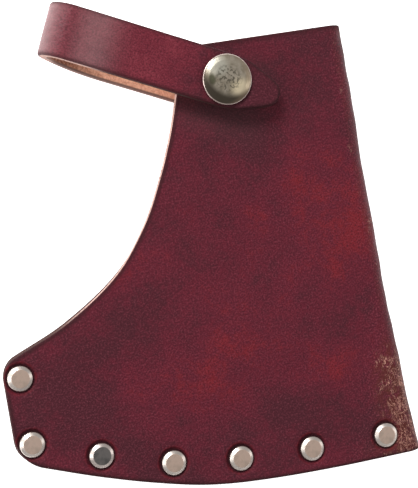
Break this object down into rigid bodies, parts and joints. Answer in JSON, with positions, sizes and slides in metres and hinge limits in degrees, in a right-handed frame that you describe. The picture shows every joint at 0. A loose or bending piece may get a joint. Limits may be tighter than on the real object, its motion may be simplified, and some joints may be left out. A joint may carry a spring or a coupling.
{
  "type": "axe sheath",
  "caption": "Folded leather sheath for a felling axe: riveted blade edge, open mouth, and a strap that loops round the axe's neck and snaps shut.",
  "frame": {"origin": "middle of the back panel's length and width, on its outer face", "axes": "+Z out of the front panel, towards the snap; +Y along the fold towards the open end; +X towards the fold"},
  "size_m": [0.1257, 0.1536, 0.0244],
  "materials": {
    "body_leather": "oxblood veg-tan, waxed, mottled and worn along the fold",
    "strap_leather": "oxblood veg-tan, lighter where it bends, natural flesh side",
    "welt_leather": "undyed veg-tan",
    "rivet_nickel": "satin nickel plate",
    "snap_nickel": "aged nickel plate with a bright rim",
    "spring_steel": "bright wire"
  },
  "bodies": {
    "sheath": {"sheath_body": "body_leather", "edge_welt": "welt_leather", "rivet_cap_1": "rivet_nickel", "rivet_cap_2": "rivet_nickel", "rivet_cap_3": "rivet_nickel", "rivet_cap_4": "rivet_nickel", "rivet_cap_5": "rivet_nickel", "rivet_cap_6": "rivet_nickel", "rivet_cap_7": "rivet_nickel", "rivet_post_1": "rivet_nickel", "rivet_post_2": "rivet_nickel", "rivet_post_3": "rivet_nickel", "rivet_post_4": "rivet_nickel", "rivet_post_5": "rivet_nickel", "rivet_post_6": "rivet_nickel", "rivet_post_7": "rivet_nickel", "strap_rivet_cap": "rivet_nickel", "strap_rivet_post": "rivet_nickel", "snap_stud": "snap_nickel", "snap_eyelet": "snap_nickel"},
    "base": {"strap_base": "strap_leather"},
    "link_1": {"strap_link_1": "strap_leather"},
    "link_2": {"strap_link_2": "strap_leather"},
    "link_3": {"strap_link_3": "strap_leather"},
    "link_4": {"strap_link_4": "strap_leather"},
    "link_5": {"strap_link_5": "strap_leather"},
    "tongue": {"strap_tongue": "strap_leather", "snap_cap": "snap_nickel", "snap_socket": "snap_nickel", "snap_spring": "spring_steel"}
  },
  "joints": [
    {"name": "strap_swivel", "type": "hinge", "parent": "sheath", "child": "base", "pos_m": [0.0164, 0.0556, 0], "axis": [0, 0, 1], "range_deg": [-60, 45]},
    {"name": "strap_bend_1", "type": "hinge", "parent": "base", "child": "link_1", "pos_m": [-0.01957, 0.07222, -0.00215], "axis": [-0.4195, -0.9078, 0], "range_deg": [0, 27]},
    {"name": "strap_bend_2", "type": "hinge", "parent": "link_1", "child": "link_2", "pos_m": [-0.03093, 0.07747, 0.00507], "axis": [-0.4195, -0.9078, 0], "range_deg": [0, 27]},
    {"name": "strap_bend_3", "type": "hinge", "parent": "link_2", "child": "link_3", "pos_m": [-0.0336, 0.0787, 0.00936], "axis": [-0.4195, -0.9078, 0], "range_deg": [0, 27]},
    {"name": "strap_bend_4", "type": "hinge", "parent": "link_3", "child": "link_4", "pos_m": [-0.0336, 0.0787, 0.01273], "axis": [-0.4195, -0.9078, 0], "range_deg": [0, 27]},
    {"name": "strap_bend_5", "type": "hinge", "parent": "link_4", "child": "link_5", "pos_m": [-0.03207, 0.078, 0.01564], "axis": [-0.4195, -0.9078, 0], "range_deg": [0, 27]},
    {"name": "strap_bend_6", "type": "hinge", "parent": "link_5", "child": "tongue", "pos_m": [-0.02943, 0.07677, 0.01732], "axis": [-0.4195, -0.9078, 0], "range_deg": [0, 27]}
  ]
}
